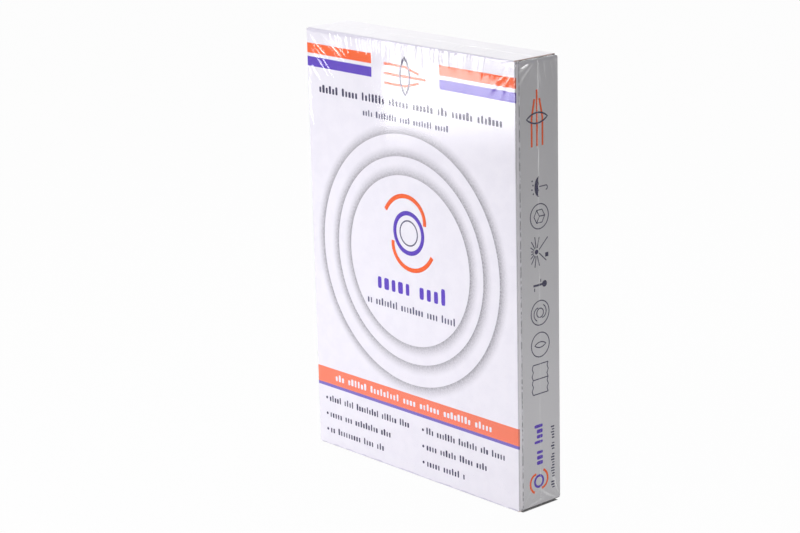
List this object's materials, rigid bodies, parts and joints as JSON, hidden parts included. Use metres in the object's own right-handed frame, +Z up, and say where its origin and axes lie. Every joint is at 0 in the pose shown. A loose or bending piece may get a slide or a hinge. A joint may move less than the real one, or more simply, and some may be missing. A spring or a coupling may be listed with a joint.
{
  "type": "shrink-wrapped folding carton",
  "caption": "Slim upright folding carton of a sterile lens, closed by tuck flaps and sealed in clear shrink film with a trim seal and gathered corners. It stands on its base.",
  "frame": {"origin": "middle of the film's flat base, which the pack stands on", "axes": "+Z up along the carton's height, the front panel faces -Y, +X is on the right of someone facing the front panel"},
  "size_m": [0.1006, 0.0192, 0.1484],
  "materials": {
    "printed_board": "white coated boxboard, printed on the outside",
    "clear_film": "clear gloss film"
  },
  "bodies": {
    "root": {"carton": "printed_board", "shrink_film": "clear_film"}
  },
  "joints": []
}
